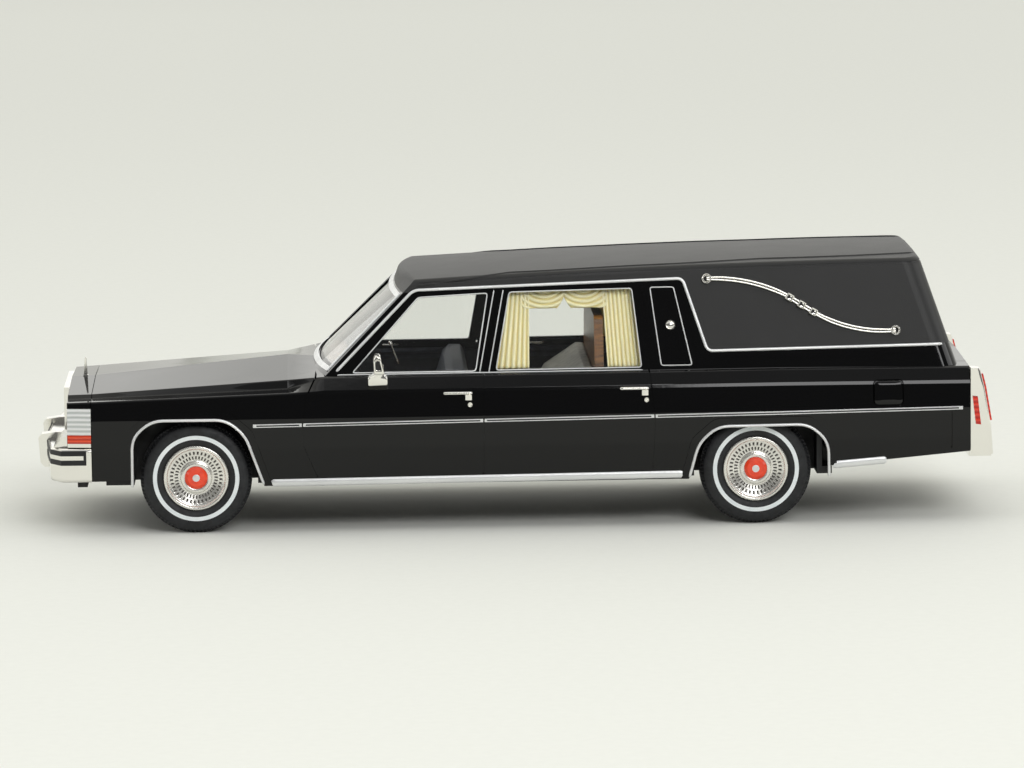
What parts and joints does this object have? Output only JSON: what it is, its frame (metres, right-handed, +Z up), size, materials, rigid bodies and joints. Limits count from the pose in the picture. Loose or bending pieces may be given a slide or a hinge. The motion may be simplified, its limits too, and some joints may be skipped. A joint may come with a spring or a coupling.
{
  "type": "scale model of a hearse",
  "caption": "Scale model of a hearse: black cast body with a satin vinyl roof, landau bars and chrome trim, on wheelsets that roll.",
  "frame": {"origin": "on the ground, below the middle of the model's bounding box", "axes": "+X forward towards the nose, +Y to the car's left, +Z up"},
  "size_m": [0.146, 0.05, 0.0405],
  "materials": {
    "gloss_black_paint": "gloss",
    "satin_vinyl": "satin",
    "black_plastic": "satin",
    "interior_plastic": "matte",
    "seat_plastic": "matte",
    "wood_print": "satin",
    "cream_plastic": "satin",
    "chrome_plate": "mirror",
    "clear_glazing": "clear",
    "amber_lens": "gloss",
    "red_lens": "gloss",
    "red_paint": "gloss",
    "tyre_rubber": "matte",
    "steel": "satin"
  },
  "bodies": {
    "root": {"body_shell": "gloss_black_paint", "header_panel": "gloss_black_paint", "chassis_base": "black_plastic", "plinth_posts": "black_plastic", "interior_tub": "interior_plastic", "load_bay": "interior_plastic", "bay_rollers": "chrome_plate", "partition": "wood_print", "front_seat": "seat_plastic", "rear_seat": "seat_plastic", "dashboard": "wood_print", "steering_wheel": "black_plastic", "windscreen": "clear_glazing", "tailgate_glass": "clear_glazing", "side_windows": "clear_glazing", "curtains": "cream_plastic", "front_bumper": "chrome_plate", "front_bumper_strips": "black_plastic", "grille": "chrome_plate", "roof_cover": "satin_vinyl", "wheel_wells": "black_plastic", "opera_discs": "chrome_plate", "rear_door_fittings": "chrome_plate", "windscreen_trim": "chrome_plate", "lamp_bezels": "chrome_plate", "headlamps": "clear_glazing", "corner_lamps": "clear_glazing", "front_markers": "amber_lens", "rear_bumper": "chrome_plate", "rear_bumper_strip": "black_plastic", "tail_lamps": "red_lens", "rear_markers": "red_lens", "roof_trim": "chrome_plate", "belt_mouldings": "chrome_plate", "side_mouldings": "chrome_plate", "sill_mouldings": "chrome_plate", "arch_lips": "chrome_plate", "window_frames": "chrome_plate", "opera_frames": "chrome_plate", "landau_bars": "chrome_plate", "door_handles": "chrome_plate", "door_mirrors": "chrome_plate", "hood_ornament": "chrome_plate"},
    "front_wheelset": {"front_axle": "steel", "tyre_front_left": "tyre_rubber", "rim_front_left": "chrome_plate", "hub_cap_front_left": "red_paint", "tyre_front_right": "tyre_rubber", "rim_front_right": "chrome_plate", "hub_cap_front_right": "red_paint"},
    "rear_wheelset": {"rear_axle": "steel", "tyre_rear_left": "tyre_rubber", "rim_rear_left": "chrome_plate", "hub_cap_rear_left": "red_paint", "tyre_rear_right": "tyre_rubber", "rim_rear_right": "chrome_plate", "hub_cap_rear_right": "red_paint"}
  },
  "joints": [
    {"name": "front_axle_roll", "type": "hinge", "parent": "root", "child": "front_wheelset", "pos_m": [0.04863, 0, 0.0085], "axis": [0, 1, 0], "continuous": true},
    {"name": "rear_axle_roll", "type": "hinge", "parent": "root", "child": "rear_wheelset", "pos_m": [-0.03673, 0, 0.0085], "axis": [0, 1, 0], "continuous": true}
  ]
}
